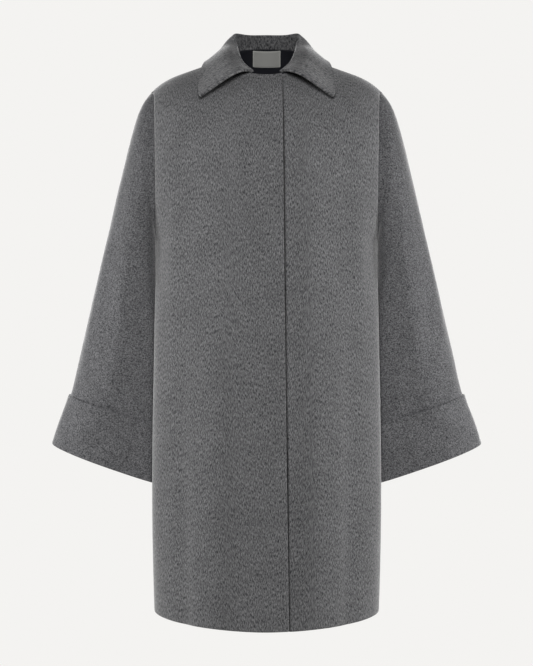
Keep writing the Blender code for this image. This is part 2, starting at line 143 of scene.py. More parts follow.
def panelPoint(share, level, panel):  # outer face of a body panel, share 0 at the centre and 1 at the side
    edge = sideLine(level, panel)
    width = abs(share)
    topY, topZ = topEdge(width * body["shoulderHalfWidth"], panel)
    z = blend(body["underarmZ"], body["hemZ"] + body["hemSideRise"] * share ** 2, level - 1)
    sideY = edge.y
    if level <= 1:
        z = blend(topZ, body["underarmZ"], (1 - math.cos(math.pi * level)) / 2)
        sideY = panel["sign"] * panel["armholeReach"] * (1 if level < 0.5 else math.sin(math.pi * level))
        sideY += underarmForward(level)
    fold = foldHeight(share, z, panel)
    z += fold * hemLevelling(z)
    lowness = clamp((body["chestZ"] - z) / (body["chestZ"] - body["hemZ"]))
    centreY = panel["sign"] * blend(panel["chestReach"], panel["hemReach"], lowness)
    arc = max(0.0, 1 - width ** panel["roundness"]) ** (1 / panel["roundness"])
    swing = ease((body["sideStartZ"] - z) / (body["sideStartZ"] - body["sideEndZ"]))
    innerSideY = blend(panel["chestSideY"], body["sideSeamY"], swing)
    fullY = blend(innerSideY, centreY, arc) + (sideY - innerSideY) * width ** body["edgePull"]
    fullY += panel["sign"] * fold
    fallen = clamp((topZ - z) / (topZ - armholeMiddleZ))
    roll = (1 - (1 - fallen) ** 2) ** (1 / rollPower(width, panel))
    return Vector((share * edge.x, blend(topY, fullY, roll), z))


def rowLevel(down):  # rows of a panel, from the top edge through the underarm to the hem
    row = down * (body["armholeRows"] + body["sideRows"])
    if row <= body["armholeRows"]:
        return row / body["armholeRows"]
    return 1 + (row - body["armholeRows"]) / body["sideRows"]


def backShare(across):  # -1 to 1 from side to side, with columns closer together towards the sides
    return math.sin(math.pi / 2 * across)


# A cloth piece starts as a flat grid whose every vertex is put on the piece's form
# spots holds, for each vertex, how far across and down the cloth it lies and how far from its far edges
# uvShift gives each piece its own stretch of the pattern, and frontLay is how far the pattern keeps its
# width across the front instead of along the cloth
def clothSheet(columns, rows, place, flip=False, tube=False, zeroColumn=0,
               uvShift=0.0, uvScale=(1, 1), frontLay=0.0):
    bm = bmesh.new()
    uvLayer = bm.loops.layers.uv.new("cloth")
    bm.verts.layers.float.new("paintedShadeAndSelvedge")  # painted shade in the coating pieces; on the label it marks the lighter selvedge
    bmesh.ops.create_grid(bm, x_segments=columns, y_segments=rows, size=0.5, calc_uvs=True)
    grid = [[None] * (columns + 1) for _ in range(rows + 1)]
    for vert in bm.verts:
        column = round((vert.co.x + 0.5) * columns)
        column = columns - column if flip else column
        grid[round((0.5 - vert.co.y) * rows)][column] = vert
    for i, line in enumerate(grid):
        for j, vert in enumerate(line):
            vert.co = place(j / columns, i / rows)
    spots = {}
    drop = [0.0] * (columns + 1)
    for i, line in enumerate(grid):
        run = [0.0]
        for j in range(1, columns + 1):
            run.append(run[-1] + (line[j].co - line[j - 1].co).length)
        for j, vert in enumerate(line):
            drop[j] += (vert.co - grid[i - 1][j].co).length if i else 0.0
            spots[vert] = [run[j] - run[zeroColumn], drop[j], run[-1] - run[j], 0.0]
    for line in grid:
        for j, vert in enumerate(line):
            spots[vert][3] = drop[j] - spots[vert][1]
    for face in bm.faces:
        face.smooth = True
        for loop in face.loops:
            across, down = spots[loop.vert][:2]
            lay = across * (1 - abs(frontLay)) + loop.vert.co.x * frontLay
            loop[uvLayer].uv = (lay * uvScale[0] + uvShift, down * uvScale[1])
    if tube:
        bmesh.ops.remove_doubles(bm, verts=bm.verts, dist=body["mergeWithin"])
    bm.normal_update()
    return bm, grid, {vert: spot for vert, spot in spots.items() if vert.is_valid}


def openSeam(edge, inside):  # each side of a seam stands back by half the gap
    for vert, inner in zip(edge, inside):
        vert.co += (inner.co - vert.co).normalized() * body["seamGap"] / 2


def creaseLift(creases, across, down):  # soft troughs and ridges that fade out at both ends
    lift = 0.0
    for startAcross, startDown, endAcross, endDown, halfWidth, height in creases:
        run = Vector((endAcross - startAcross, endDown - startDown))
        here = Vector((across - startAcross, down - startDown))
        along = here.dot(run) / run.length_squared
        if 0 < along < 1:
            off = abs(here.x * run.y - here.y * run.x) / run.length
            lift += height * math.sin(math.pi * along) ** body["creaseEnds"] * hump(off, halfWidth)
    return lift


def liftCloth(bm, spots, lift):
    bm.normal_update()
    heights = {vert: lift(vert, *spot) for vert, spot in spots.items()}
    for vert, height in heights.items():
        vert.co += Vector((vert.normal.x, vert.normal.y, max(0.0, vert.normal.z))) * height
        vert.co.z += hemLevelling(vert.co.z) * max(body["deepestLevelled"], height)


def unevenness(vert, piece):  # slow hand-made unevenness that no woven cloth hangs without
    return piece["unevenHeight"] * noise.noise(vert.co / piece["unevenSize"])


def seamRoll(vert, toSide):  # the body's cloth rolls out over the armhole seam, most at the underarm
    lowness = ease((body["seamRollStartZ"] - vert.co.z) / (body["seamRollStartZ"] - body["underarmZ"]))
    fading = ease((vert.co.z - body["seamRollEndZ"]) / (body["underarmZ"] - body["seamRollEndZ"]))
    height = blend(body["seamRoll"], body["seamRollUnderarm"], lowness) * fading
    height *= ease((shoulderEndZ - vert.co.z) / body["seamRollEase"])
    return height * hump(toSide - body["seamRollFrom"], body["seamRollWidth"])


def sewnShare(distance):  # share of the cloth's thickness at this distance from a sewn edge
    return body["sewnThickness"] if distance < body["sewnWidth"] else 1.0


pieces = {}


def finishCloth(bm, spots, name, thickness, thinAt=None):
    mesh = bpy.data.meshes.new(name + "_cloth")
    bm.verts.index_update()
    thin = {vert.index: thinAt(*spot) for vert, spot in spots.items()} if thinAt else {}
    bm.to_mesh(mesh)
    bm.free()
    piece = bpy.data.objects.new(name + "_cloth", mesh)
    bpy.context.scene.collection.objects.link(piece)
    wall = piece.modifiers.new("cloth thickness", "SOLIDIFY")
    wall.thickness = thickness
    wall.offset = -1
    if thin:
        group = piece.vertex_groups.new(name="wall")
        for index, weight in thin.items():
            group.add([index], weight, "REPLACE")
        wall.vertex_group = group.name
        wall.thickness_vertex_group = 0.0
    soft = piece.modifiers.new("soft edges", "SUBSURF")
    soft.levels = 1
    soft.render_levels = 1
    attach(piece, "root")
    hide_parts(name)
    pieces[name] = piece
    print(name, len(mesh.polygons), "faces in the grid")


# Fronts: creases run from (across, down) to (across, down) on the cloth, then half width and height
# across is measured from the lap edge, down from the neckline and shoulder
front = {
    "sign": -1, "armholeReach": 0.060, "armholeBow": 0.0092, "chestReach": 0.143, "hemReach": 0.173,
    "chestSideY": -0.045, "roundness": 1.85, "neckRoll": 1.1,
    "folds": [(0.57, 0.20, 0.006), (0.26, 0.16, -0.003)],
    "lapAtNeck": 0.025, "lapAtHem": 0.035, "lapFullX": 0.039, "lapFadeX": 0.070, "lapClearance": 0.0008,
    "lapParts": 3,
    "rightStops": [0, 0.0012, 0.0025, 0.004, 0.006, 0.009, 0.013, 0.018, 0.024],  # columns from its edge
    "leftStops": [-0.020, -0.012, -0.006, -0.003, -0.001, 0.0008, 0.002, 0.0035, 0.005, 0.007, 0.010,
                  0.014, 0.019, 0.025, 0.032],  # columns from the line where the right front ends
    "plainColumns": 36, "frontLay": 0.7,
    "cut": {"flat": (0.306, 1.019), "area": 0.262, "held": "hung", "restsOn": ["back"]},
    "edgeStand": 0.0012, "edgeStandHem": 0.0050, "edgeReach": 0.012, "edgeReachHem": 0.032,
    "looseFrom": 0.30, "looseOver": 0.65,  # the front edge loosens from here down, over this length
    "groove": 0.0090, "grooveReach": 0.0042, "grooveStart": 0.02,
    # painted shadow on the left front along the right front's edge, widening towards the hem
    "paintedShadow": 0.0026, "paintedShadowHem": 0.0042, "paintedShadowFade": 0.0014, "paintedShadowFrom": 0.01, "paintedShadowStart": 0.03,
    "unevenSize": 0.11, "unevenHeight": 0.0009,
    "rightCreases": [
        (0.120, 0.10, 0.205, 0.30, 0.016, -0.0009),
        (0.060, 0.20, 0.085, 0.62, 0.022, 0.0008),
        (0.198, 0.06, 0.196, 0.62, 0.018, 0.0031),
        (0.117, 0.40, 0.115, 1.45, 0.022, 0.0040),
        (0.182, 0.42, 0.180, 1.45, 0.018, -0.0048),
        (0.052, 0.62, 0.050, 1.50, 0.024, -0.0030),
    ],
    "leftCreases": [
        (0.110, 0.12, 0.215, 0.26, 0.015, -0.0008),
        (0.120, 0.26, 0.110, 0.55, 0.020, 0.0007),
        (0.196, 0.07, 0.194, 0.60, 0.018, 0.0031),
        (0.120, 0.42, 0.117, 1.45, 0.022, 0.0038),
        (0.178, 0.40, 0.182, 1.45, 0.018, -0.0046),
        (0.070, 0.60, 0.068, 1.50, 0.020, -0.0024),
    ],
}


def lapAt(z):
    return blend(front["lapAtNeck"], front["lapAtHem"], clamp(z / body["hemZ"]))


def frontShares(level, side):  # columns stand close together along the front edge and towards the side
    edge = sideLine(level, front)
    lap = lapAt(edge.z if level > 0 else 0.0)
    if side < 0:
        columns = [stop - lap for stop in front["rightStops"]]
    else:
        columns = [-lap, -lap / front["lapParts"]] + [stop + lap for stop in front["leftStops"]]
    start = columns[-1] / edge.x
    rest = [math.sin(math.pi / 2 * (i + 1) / front["plainColumns"]) for i in range(front["plainColumns"])]
    return [x / edge.x for x in columns] + [blend(start, 1, share) for share in rest]


def looseness(down):
    return ease((down - front["looseFrom"]) / front["looseOver"])


def makeFront(side):
    name = "front_left" if side > 0 else "front_right"
    creases = front["leftCreases"] if side > 0 else front["rightCreases"]
    rows = body["armholeRows"] + body["sideRows"]
    shares = [frontShares(rowLevel(row / rows), side) for row in range(rows + 1)]
    columns = len(shares[0]) - 1

    def place(across, down):
        point = panelPoint(shares[round(down * rows)][round(across * columns)], rowLevel(down), front)
        point.x *= side
        return point

    bm, grid, spots = clothSheet(columns, rows, place, side < 0, uvShift=side,
                                 frontLay=side * front["frontLay"])
    shoulder = min(range(columns + 1), key=lambda column: abs(shares[0][column] - neckShare))
    openSeam(grid[0][shoulder:], grid[1][shoulder:])
    openSeam([line[-1] for line in grid], [line[-2] for line in grid])

    def lift(vert, across, down, toSide, toHem):
        height = creaseLift(creases, across, down) + unevenness(vert, front)
        height *= ease(toSide / body["creaseFade"]) * ease(down / body["creaseFade"])
        height += seamRoll(vert, toSide)
        if side > 0:  # the left front runs on underneath the right one
            nearness = (front["lapFadeX"] - vert.co.x) / (front["lapFadeX"] - front["lapFullX"])
            fromLine = vert.co.x - lapAt(vert.co.z)
            height -= (body["cloth"] + front["lapClearance"]) * ease(nearness)
            inLine = ease(1 - fromLine / front["grooveReach"])
            height -= front["groove"] * inLine * ease(down / front["grooveStart"])
        else:  # the right front's edge stands off, more so towards the hem
            loose = looseness(down)
            reach = blend(front["edgeReach"], front["edgeReachHem"], loose)
            height += blend(front["edgeStand"], front["edgeStandHem"], loose) * ease(1 - across / reach)
        return height

    liftCloth(bm, spots, lift)
    if side > 0:  # painted shadow: the left front is darkened along the right front's edge and under the lap
        paintedShadow = bm.verts.layers.float["paintedShadeAndSelvedge"]
        for vert, (across, down, toSide, toHem) in spots.items():
            reach = blend(front["paintedShadow"], front["paintedShadowHem"], looseness(down))
            fromLine = vert.co.x - lapAt(vert.co.z)
            belowNeck = ease((down - front["paintedShadowFrom"]) / front["paintedShadowStart"])
            vert[paintedShadow] = ease((reach - fromLine) / front["paintedShadowFade"]) * belowNeck
    finishCloth(bm, spots, name, body["cloth"],
                lambda across, down, toSide, toHem: sewnShare(toSide))


# Back: creases like the ones that show on the fronts, measured from the centre line and the neckline
back = {
    "sign": 1, "armholeReach": 0.083, "armholeBow": 0.0135, "chestReach": 0.135, "hemReach": 0.140,
    "chestSideY": 0.045, "roundness": 1.9, "neckRoll": 2.0,
    "folds": [(0.00, 0.22, -0.005), (0.42, 0.22, 0.007), (0.76, 0.16, -0.003)],
    "halfColumns": 39, "uvShift": 2.0, "unevenSize": 0.11, "unevenHeight": 0.0010,
    "allowance": 0.0030, "allowanceDepth": 0.0014, "allowanceRows": 4,
    "cut": {"flat": (0.580, 1.024), "area": 0.514, "held": "hung", "restsOn": []},
    "creases": [
        (-0.140, 0.10, -0.060, 0.30, 0.018, -0.0017),
        (0.150, 0.13, 0.075, 0.27, 0.016, -0.0015),
        (-0.030, 0.16, -0.045, 0.60, 0.024, 0.0015),
        (0.055, 0.30, 0.040, 0.66, 0.020, -0.0016),
        (-0.130, 0.45, -0.150, 0.98, 0.018, 0.0017),
        (0.135, 0.50, 0.150, 0.95, 0.020, -0.0016),
        (0.010, 0.62, -0.010, 1.02, 0.017, -0.0014),
    ],
}

# Columns from the centre line to the neck point
neckColumns = round(back["halfColumns"] * math.asin(neckShare) / (math.pi / 2))


def backPoint(across, down):
    return panelPoint(backShare(2 * across - 1), rowLevel(down), back)


def backLift(vert, across, down):
    height = creaseLift(back["creases"], across, down) + unevenness(vert, back)
    return height * ease(down / body["creaseFade"])


def makeBack():
    columns = 2 * back["halfColumns"]
    rows = body["armholeRows"] + body["sideRows"]
    middle = back["halfColumns"]
    bm, grid, spots = clothSheet(columns, rows, backPoint, True, zeroColumn=middle, uvShift=back["uvShift"])
    for ends in (slice(0, middle - neckColumns + 1), slice(middle + neckColumns, None)):
        openSeam(grid[0][ends], grid[1][ends])
    openSeam([line[0] for line in grid], [line[1] for line in grid])
    openSeam([line[-1] for line in grid], [line[-2] for line in grid])
    bm.normal_update()
    for row, line in enumerate(grid):  # below the underarm a seam allowance lies inside, behind the fronts
        growth = ease((row - body["armholeRows"]) / back["allowanceRows"])
        for vert, inner in ((line[0], line[1]), (line[-1], line[-2])):
            outwards = (vert.co - inner.co).normalized()
            vert.co += (outwards * back["allowance"] - inner.normal * back["allowanceDepth"]) * growth
    halfWidth = {vert: (spots[line[-1]][0] - spots[line[0]][0]) / 2 for line in grid for vert in line}

    def lift(vert, across, down, toEdge, toHem):
        toSide = halfWidth[vert] - abs(across)
        return backLift(vert, across, down) * ease(toSide / body["creaseFade"]) + seamRoll(vert, toSide)

    liftCloth(bm, spots, lift)
    sewn = {tuple(spots[vert]) for line in grid for vert in (line[0], line[-1])}
    finishCloth(bm, spots, "back", body["cloth"],
                lambda *spot: body["sewnThickness"] if spot in sewn else 1.0)


# Sleeves: sections below the armhole give outer x and z, inner x and z, ridge y, front y, back y and
# how flat the inner half lies, where less than 1 is boxier
# creases are measured from the outer line, forwards, and from the armhole
sleeve = {
    "sections": [
        (0.212, -0.0740, 0.1905, -0.325, 0.000, -0.061, 0.083, 1.8),
        (0.228, -0.110, 0.1895, -0.338, 0.001, -0.062, 0.084, 1.5),
        (0.2535, -0.206, 0.1890, -0.375, 0.007, -0.060, 0.087, 1.1),
        (0.2782, -0.306, 0.1885, -0.430, 0.014, -0.054, 0.090, 0.50),
        (0.3025, -0.406, 0.1890, -0.500, 0.022, -0.046, 0.093, 0.36),
        (0.327, -0.506, 0.1875, -0.572, 0.031, -0.036, 0.096, 0.36),
        (0.348, -0.590, 0.1865, -0.642, 0.038, -0.027, 0.099, 0.36),
        (0.379, -0.676, 0.1855, -0.744, 0.043, -0.019, 0.102, 0.36),
    ],
    "rows": 84, "hiddenEnd": 0.004, "quarterRound": 0.092, "uvShift": 3.0, "axisStep": 0.002,
    "unevenSize": 0.09, "unevenHeight": 0.0009, "headFade": 0.03, "plainUnderCuff": 0.075, "cuffFade": 0.06,
    "tuck": 0.0020, "tuckReach": 0.012, "underarmSections": 4,
    "headPaintedShade": 0.21, "headPaintedShadeReach": 0.36,  # painted shade over the sleeve head, fading down the sleeve
    "cut": {"flat": (0.647, 0.641), "area": 0.232, "held": "hung", "restsOn": ["back"]},
    "rightCreases": [
        (0.055, 0.10, 0.075, 0.40, 0.016, -0.0022),
        (0.105, 0.16, 0.110, 0.52, 0.013, 0.0020),
        (0.030, 0.26, 0.050, 0.56, 0.015, 0.0018),
        (-0.070, 0.12, -0.080, 0.46, 0.018, -0.0020),
        (-0.120, 0.20, -0.105, 0.55, 0.015, 0.0018),
    ],
    "leftCreases": [
        (0.050, 0.14, 0.080, 0.44, 0.015, -0.0020),
        (0.110, 0.12, 0.105, 0.45, 0.014, 0.0021),
        (0.025, 0.22, 0.055, 0.54, 0.016, 0.0016),
        (-0.065, 0.16, -0.085, 0.50, 0.017, -0.0019),
        (-0.125, 0.15, -0.110, 0.50, 0.016, 0.0019),
    ],
}


def sleeveRing(index, turn):  # turn 0 is the outer line, a quarter the front, a half the underarm
    if index == 0:
        panel = front if turn >= 0 else back
        point = sideLine(min(1.0, abs(turn) / math.pi), panel)
        point.x += body["seamGap"]
        return point
    outerX, outerZ, innerX, innerZ, ridgeY, frontY, backY, innerFlatness = sleeve["sections"][index - 1]
    share = (1 - math.cos(turn)) / 2
    fullness = abs(math.sin(turn)) ** (innerFlatness if abs(turn) > math.pi / 2 else 1)
    y = blend(ridgeY, frontY if turn >= 0 else backY, fullness)
    y += underarmForward(abs(turn) / math.pi) * max(0.0, 1 - index / sleeve["underarmSections"])
    return Vector((blend(outerX, innerX, share), y, blend(outerZ, innerZ, share)))


def sectionMiddle(index):
    return (sleeveRing(index, 0.0) + sleeveRing(index, math.pi)) / 2


sleeveKnots = [0.0]  # how far down the sleeve each section lies
for index in range(len(sleeve["sections"])):
    sleeveKnots.append(sleeveKnots[-1] + (sectionMiddle(index + 1) - sectionMiddle(index)).length)


def sleeveSlope(index, turn):
    before = max(0, index - 1)
    after = min(len(sleeveKnots) - 1, index + 1)
    return (sleeveRing(after, turn) - sleeveRing(before, turn)) / (sleeveKnots[after] - sleeveKnots[before])


def sleevePoint(turn, down):  # one smooth run through the sections, down in metres
    index = 0
    while index < len(sleeveKnots) - 2 and down > sleeveKnots[index + 1]:
        index += 1
    length = sleeveKnots[index + 1] - sleeveKnots[index]
    t = (down - sleeveKnots[index]) / length
    point = sleeveRing(index, turn) * ((1 + 2 * t) * (1 - t) ** 2)
    point += sleeveRing(index + 1, turn) * (t * t * (3 - 2 * t))
    point += sleeveSlope(index, turn) * (length * t * (1 - t) ** 2)
    return point - sleeveSlope(index + 1, turn) * (length * t * t * (1 - t))


def sleeveAxes(turn, down):  # the way out of the cloth and the way down it
    step = sleeve["axisStep"]
    around = sleevePoint(turn - step, down) - sleevePoint(turn + step, down)
    downwards = (sleevePoint(turn, down) - sleevePoint(turn, down - step)).normalized()
    return downwards.cross(around).normalized(), downwards


def makeSleeve(side):
    name = "sleeve_left" if side > 0 else "sleeve_right"
    creases = sleeve["leftCreases"] if side > 0 else sleeve["rightCreases"]
    columns = 2 * body["armholeRows"]
    length = sleeveKnots[-1] - sleeve["hiddenEnd"]

    def place(across, down):
        point = sleevePoint(math.pi * (1 - 2 * across), down * length)
        point.x *= side
        return point

    bm, grid, spots = clothSheet(columns, sleeve["rows"], place, side < 0, True, columns // 2,
                                 sleeve["uvShift"] + side / 2)

    def lift(vert, across, down, toEdge, toEnd):
        forwards = -across
        aboveCuff = ease((toEnd - sleeve["plainUnderCuff"]) / sleeve["cuffFade"])
        height = creaseLift(creases, forwards, down) + unevenness(vert, sleeve)
        height *= aboveCuff * ease(down / sleeve["headFade"])
        atFront = abs(math.sin(forwards / sleeve["quarterRound"]))  # the seam is drawn in at front and back
        return height - sleeve["tuck"] * atFront * ease(1 - down / sleeve["tuckReach"])

    liftCloth(bm, spots, lift)
    # painted shade over the sleeve head
    nap = bm.verts.layers.float["paintedShadeAndSelvedge"]
    for vert, (across, down, toEdge, toEnd) in spots.items():
        vert[nap] = sleeve["headPaintedShade"] * ease(1 - down / sleeve["headPaintedShadeReach"])
    finishCloth(bm, spots, name, body["cloth"],
                lambda across, down, toEdge, toEnd: sewnShare(down))


# Cuffs: a deep band turned back over the sleeve end, with a soft fold at the bottom
cuff = {
    "cloth": 0.0024, "standOff": 0.0033, "bandRows": 24, "turnRows": 8, "turnRadius": 0.0028,
    "topStand": 0.0006, "topStandFront": 0.0030, "topStandTurn": 1.30, "topStandSpread": 0.55,
    "topStandReach": 0.020, "fullness": 0.0016, "uvShift": 5.0, "unevenSize": 0.06, "unevenHeight": 0.0007,
    "deepestCrease": -0.0006, "plainFold": 0.012, "foldFade": 0.02,
    "cut": {"flat": (0.551, 0.111), "area": 0.0545, "held": "folded"},
    "rightCreases": [
        (0.036, 0.006, 0.048, 0.075, 0.011, -0.0014),
        (0.074, 0.020, 0.092, 0.095, 0.011, 0.0014),
        (-0.060, 0.010, -0.080, 0.085, 0.013, -0.0015),
    ],
    "leftCreases": [
        (0.040, 0.004, 0.046, 0.080, 0.011, -0.0013),
        (0.080, 0.016, 0.096, 0.090, 0.012, 0.0015),
        (-0.055, 0.012, -0.085, 0.090, 0.012, -0.0016),
    ],
}


def makeCuff(side):
    name = "cuff_left" if side > 0 else "cuff_right"
    creases = cuff["leftCreases"] if side > 0 else cuff["rightCreases"]
    columns = 2 * body["armholeRows"]
    rows = cuff["bandRows"] + cuff["turnRows"]
    top, end = sleeveKnots[-2], sleeveKnots[-1]

    def place(across, down):
        turn = math.pi * (1 - 2 * across)
        row = down * rows
        if row <= cuff["bandRows"]:
            share = row / cuff["bandRows"]
            out, downwards = sleeveAxes(turn, blend(top, end, share))
            point = sleevePoint(turn, blend(top, end, share)) + out * cuff["standOff"]
            point += out * cuff["fullness"] * math.sin(math.pi * share)
            atFront = hump(turn - cuff["topStandTurn"], cuff["topStandSpread"])
            topStand = cuff["topStand"] + cuff["topStandFront"] * atFront
            point += out * topStand * ease(1 - share * (end - top) / cuff["topStandReach"])
        else:
            bend = math.pi * (row - cuff["bandRows"]) / cuff["turnRows"]
            out, downwards = sleeveAxes(turn, end)
            centre = sleevePoint(turn, end) + out * (cuff["standOff"] - cuff["turnRadius"])
            point = centre + (out * math.cos(bend) + downwards * math.sin(bend)) * cuff["turnRadius"]
        point.x *= side
        return point

    bm, grid, spots = clothSheet(columns, rows, place, side < 0, True, columns // 2,
                                 cuff["uvShift"] + side / 2)

    def lift(vert, across, down, toEdge, toEnd):
        height = creaseLift(creases, -across, down) + unevenness(vert, cuff)
        return max(cuff["deepestCrease"], height) * ease((toEnd - cuff["plainFold"]) / cuff["foldFade"])

    liftCloth(bm, spots, lift)
    finishCloth(bm, spots, name, cuff["cloth"])


# Collar in one cut: stations from centre back to the front end give the neckline angle, then x, y, z
# of the fold, x, y, z of the leaf's edge and how far the leaf stands out between them
collar = {
    "cloth": 0.0042, "standCloth": 0.0026, "foldRadius": 0.004, "faceInset": 0.0012, "seat": 0.0006,
    "leafClearance": 0.009, "depthPasses": 12,
    "stations": [
        (-90, 0.000, 0.070, 0.0570, 0.000, 0.098, -0.012, 0.006),
        (-60, 0.033, 0.064, 0.0555, 0.056, 0.088, -0.009, 0.006),
        (-35, 0.0582, 0.044, 0.0535, 0.093, 0.055, -0.006, 0.006),
        (-10, 0.0535, 0.022, 0.0310, 0.1062, 0.012, -0.0016, 0.006),
        (15, 0.047, -0.023, 0.0040, 0.1130, -0.030, -0.022, 0.008),
        (40, 0.0385, -0.055, -0.0190, 0.1168, -0.070, -0.058, 0.009),
        (69, 0.0245, -0.085, -0.0370, 0.1140, -0.104, -0.0855, 0.0055),
    ],
    "halfColumns": 42, "standRows": 6, "foldRows": 10, "leafRows": 22,
    "endCrowding": 1.4, "edgeCrowding": 1.6,  # columns stand closer at the front ends, rows at the edge
    "pointFrom": 0.95, "pointRounding": 0.030, "pointOnset": 3,
    "endStand": 0.013, "endStandFrom": 0.75, "endStandRaised": 0.6,
    "cut": {"flat": (0.600, 0.116), "area": 0.053, "held": "folded",
            "restsOn": ["back", "front_left", "front_right"]},
    "unevenSize": 0.05, "unevenHeight": 0.0007, "plainStand": 0.02, "standFade": 0.03,
    "uvShift": 7.0, "uvScale": (0.54, 0.9),
    # painted shade inside the collar stand and where the leaf rolls over the shoulder
    "standPaintedShade": 0.5, "shoulderPaintedShade": 0.22, "shoulderPaintedShadeAlong": 0.56, "shoulderPaintedShadeReach": 0.32,
}


def levelAt(topZ, z):  # the level above the underarm at which a panel's column reaches height z
    fall = clamp((topZ - z) / (topZ - body["underarmZ"]))
    return math.acos(1 - 2 * fall) / math.pi


def panelDepth(x, z, panel):  # y of a panel's face at x and z, closing in on the share that lies there
    share = abs(x) / body["shoulderHalfWidth"]
    for _ in range(collar["depthPasses"]):
        level = levelAt(topEdge(share * body["shoulderHalfWidth"], panel)[1], z)
        share = min(1.0, abs(x) / sideLine(level, panel).x)
    return panelPoint(share, level, panel).y


def restOnBody(point):  # a leaf point is moved out where it would come too near the panel below it
    panel = front if point.y < 0 else back
    if point.z < topEdge(abs(point.x), panel)[1]:
        surface = panelDepth(point.x, point.z, panel) + panel["sign"] * collar["leafClearance"]
        if (surface - point.y) * panel["sign"] > 0:
            return Vector((point.x, surface, point.z))
    return point


def collarStation(along):  # 0 at centre back, 1 at the front end
    stations = collar["stations"]
    spot = along * (len(stations) - 1)
    index = min(int(spot), len(stations) - 2)
    t = spot - index
    values = []
    for field, (here, there) in enumerate(zip(stations[index], stations[index + 1])):
        startSlope = (there - stations[index - 1][field]) / 2 if index else there - here
        endSlope = (stations[index + 2][field] - here) / 2 if index + 2 < len(stations) else there - here
        values.append(here * (1 + 2 * t) * (1 - t) ** 2 + startSlope * t * (1 - t) ** 2
                      + there * t * t * (3 - 2 * t) - endSlope * t * t * (1 - t))
    return values


def collarColumn(along):  # up the stand, over the fold and down the leaf
    neckAngle, foldX, foldY, foldZ, edgeX, edgeY, edgeZ, leafBulge = collarStation(along)
    neck = neckPoint(math.radians(neckAngle))
    fold = Vector((foldX, foldY, foldZ))
    edge = Vector((edgeX, edgeY, edgeZ))
    past = max(0.0, (along - collar["pointFrom"]) / (1 - collar["pointFrom"]))
    edge = restOnBody(edge.lerp(fold, collar["pointRounding"] * past ** collar["pointOnset"]))
    middleY = (body["neckBackReach"] - body["neckFrontReach"]) / 2
    outwards = Vector((neck.x, neck.y - middleY, 0)).normalized()
    seat = neck + Vector((0, 0, collar["seat"])) - outwards * collar["faceInset"]
    rise = (fold - seat).normalized()
    over = edge - fold
    over = (over - rise * over.dot(rise)).normalized()
    centre = fold - rise * collar["foldRadius"]
    leaf = edge - centre
    turnEnd = math.atan2(leaf.dot(over), leaf.dot(rise))
    roll = [centre + collar["foldRadius"] * (rise * math.sin(turn) - over * math.cos(turn))
            for turn in (turnEnd * step / collar["foldRows"] for step in range(collar["foldRows"] + 1))]
    stand = [seat.lerp(roll[0], row / collar["standRows"]) for row in range(collar["standRows"])]
    lift = (rise * math.sin(turnEnd) - over * math.cos(turnEnd)).normalized()
    leafPoints = []
    endStand = collar["endStand"] * ease((along - collar["endStandFrom"]) / (1 - collar["endStandFrom"]))
    for row in range(1, collar["leafRows"] + 1):
        t = 1 - (1 - row / collar["leafRows"]) ** collar["edgeCrowding"]
        bulge = leafBulge * 27 / 4 * t * (1 - t) ** 2  # full at a third, where t (1 - t)^2 is 4 / 27
        point = restOnBody(roll[-1].lerp(edge, t) + lift * bulge)
        point.y -= endStand * math.sin(math.pi * t ** collar["endStandRaised"])
        leafPoints.append(point)
    return stand + roll + leafPoints


def makeCollar():
    half = [collarColumn(1 - (1 - column / collar["halfColumns"]) ** collar["endCrowding"])
            for column in range(collar["halfColumns"] + 1)]
    columns = 2 * collar["halfColumns"]
    rows = len(half[0]) - 1

    def place(across, down):
        column = round(across * columns) - collar["halfColumns"]
        point = half[abs(column)][round(down * rows)].copy()
        point.x = math.copysign(point.x, column)
        return point

    bm, grid, spots = clothSheet(columns, rows, place, True, zeroColumn=collar["halfColumns"],
                                 uvShift=collar["uvShift"], uvScale=collar["uvScale"])

    def lift(vert, across, down, toEnd, toEdge):
        return unevenness(vert, collar) * ease((down - collar["plainStand"]) / collar["standFade"])

    liftCloth(bm, spots, lift)
    nap = bm.verts.layers.float["paintedShadeAndSelvedge"]  # painted shade inside the collar stand, and lighter painted shade where the leaf rolls over the shoulder
    for line in grid[:collar["standRows"] + 1]:
        for vert in line:
            vert[nap] = collar["standPaintedShade"]
    for line in grid[collar["standRows"] + collar["foldRows"]:]:
        for column, vert in enumerate(line):
            along = abs(column / collar["halfColumns"] - 1)
            atShoulder = hump(along - collar["shoulderPaintedShadeAlong"], collar["shoulderPaintedShadeReach"])
            vert[nap] = collar["shoulderPaintedShade"] * atShoulder
    standLines = grid[:collar["standRows"] + collar["foldRows"] // 2]
    stand = {tuple(spots[vert]) for line in standLines for vert in line}
    thin = collar["standCloth"] / collar["cloth"]
    finishCloth(bm, spots, "collar", collar["cloth"],
                lambda *spot: thin if spot in stand else 1.0)


# Lining and bare label in the back of the neck, both facing the neck
lining = {
    "cloth": 0.0008, "rows": 30, "lowestLevel": 5 / 12, "uvShift": 8.0,
    "cut": {"flat": (0.222, 0.179), "area": 0.0216, "held": "laid", "restsOn": ["back"]},
}
label = {
    "cloth": 0.0008, "width": 0.0528, "height": 0.0265, "drop": 0.0032,
    "columns": 30, "rows": 18, "standOff": 0.0012, "sewnIn": 0.003, "sewnStandOff": 0.3,
    "cut": {"flat": (0.0547, 0.0310), "area": 0.0016, "held": "laid", "restsOn": ["back_neck_lining"]},
}


def makeLining():
    def place(across, down):
        share = backShare((2 * across - 1) * neckColumns / back["halfColumns"])
        return panelPoint(share, down * lining["lowestLevel"], back)

    bm, grid, spots = clothSheet(2 * neckColumns, lining["rows"], place, zeroColumn=neckColumns,
                                 uvShift=lining["uvShift"])
    depth = body["cloth"] + body["seamGap"] + lining["cloth"]
    liftCloth(bm, spots, lambda vert, across, down, toEnd, toEdge: depth - backLift(vert, across, down))
    finishCloth(bm, spots, "back_neck_lining", lining["cloth"])


